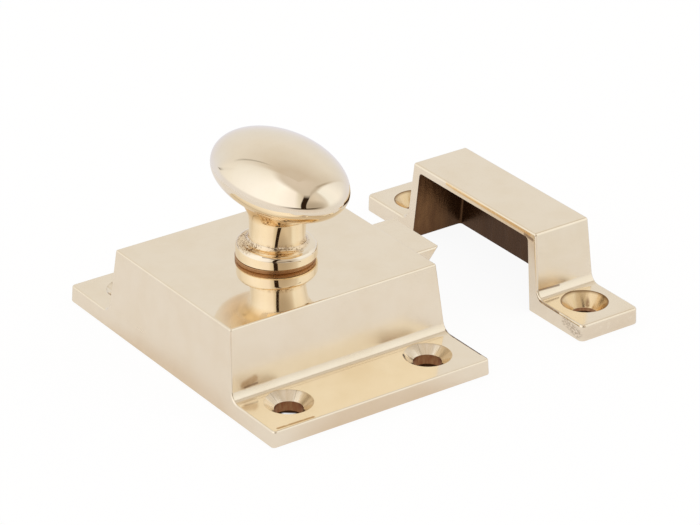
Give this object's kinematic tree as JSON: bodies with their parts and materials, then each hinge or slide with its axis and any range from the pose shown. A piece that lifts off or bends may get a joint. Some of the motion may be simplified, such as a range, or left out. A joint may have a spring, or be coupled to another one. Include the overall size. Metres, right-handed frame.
{
  "type": "cupboard latch",
  "caption": "Surface-mounted cupboard latch in polished cast brass: an oval turn knob draws a sprung bevelled bolt, and a separate open strike receives it.",
  "frame": {"origin": "middle of the case's mounting face, between its four screw holes and under the knob's axis", "axes": "+Z away from the door along the knob's axis, +X along the bolt towards the strike, +Y along the case's flanges"},
  "size_m": [0.0681, 0.057, 0.0333],
  "materials": {
    "polished_brass": "polished",
    "dull_brass": "tarnished",
    "steel": "plain zinc",
    "spring_steel": "drawn wire"
  },
  "bodies": {
    "case": {"case": "polished_brass", "knob_washer": "dull_brass", "keeper_strap": "steel", "strap_screw_far": "steel", "strap_screw_near": "steel", "bolt_spring": "spring_steel", "strike": "polished_brass"},
    "knob": {"knob": "polished_brass", "spindle": "steel", "crank": "steel", "crank_pin": "steel", "crank_washer": "steel"},
    "bolt": {"bolt": "polished_brass"}
  },
  "joints": [
    {"name": "knob_turn", "type": "hinge", "parent": "case", "child": "knob", "pos_m": [0, 0, 0.0127], "axis": [0, 0, 1], "range_deg": [0, 54]},
    {"name": "bolt_slide", "type": "slide", "parent": "case", "child": "bolt", "axis": [-1, 0, 0], "range_m": [0, 0.00726], "stiffness_N_per_m": 120, "springref_m": -0.0075, "deforming": ["bolt_spring"]}
  ],
  "couplings": [
    {"joint": "knob_turn", "follows": "bolt_slide", "rad_per_m": 129.75}
  ]
}
